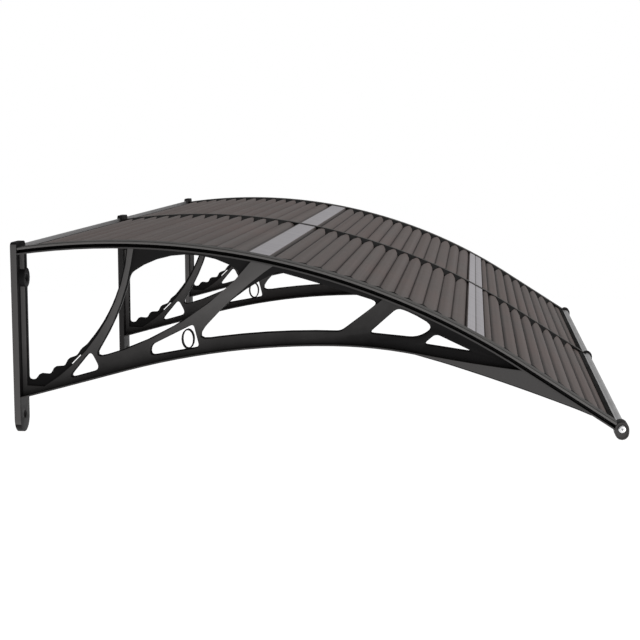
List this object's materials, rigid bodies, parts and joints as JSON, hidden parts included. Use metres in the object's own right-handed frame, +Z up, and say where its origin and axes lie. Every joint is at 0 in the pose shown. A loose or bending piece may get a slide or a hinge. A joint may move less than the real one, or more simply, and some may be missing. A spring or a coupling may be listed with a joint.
{
  "type": "door canopy",
  "caption": "Arched door canopy: ribbed brown sheets on moulded wall brackets with open curved arms, cover strips and metal front and rear bars.",
  "frame": {"origin": "middle of the middle bracket's wall plate, on its wall face", "axes": "+X along the wall, +Y into the wall so that the canopy reaches out towards -Y, +Z up"},
  "size_m": [1.5046, 1.0038, 0.3224],
  "materials": {
    "black_plastic": "moulded plastic with a fine satin grain",
    "brown_polycarbonate": "glossy smoke-brown sheet with pressed ribs",
    "aluminium": "mill-finish extrusion with fine lengthwise lines",
    "black_rubber": "dull",
    "steel": "bright zinc plate",
    "blackened_steel": "black oxide"
  },
  "bodies": {
    "root": {"bracket_left": "black_plastic", "cover_strip_left": "black_plastic", "cover_screw_left_1": "blackened_steel", "cover_screw_left_2": "blackened_steel", "cover_screw_left_3": "blackened_steel", "cover_screw_left_4": "blackened_steel", "bracket_middle": "black_plastic", "cover_strip_middle": "black_plastic", "cover_screw_middle_1": "blackened_steel", "cover_screw_middle_2": "blackened_steel", "cover_screw_middle_3": "blackened_steel", "cover_screw_middle_4": "blackened_steel", "bracket_right": "black_plastic", "cover_strip_right": "black_plastic", "cover_screw_right_1": "blackened_steel", "cover_screw_right_2": "blackened_steel", "cover_screw_right_3": "blackened_steel", "cover_screw_right_4": "blackened_steel", "tip_screw_left": "steel", "tip_screw_right": "steel", "tip_joiner": "steel", "sheet_left": "brown_polycarbonate", "front_bar_left": "aluminium", "front_gasket_left": "black_rubber", "rear_bar_left": "aluminium", "rear_gasket_left": "black_rubber", "sheet_right": "brown_polycarbonate", "front_bar_right": "aluminium", "front_gasket_right": "black_rubber", "rear_bar_right": "aluminium", "rear_gasket_right": "black_rubber"}
  },
  "joints": []
}
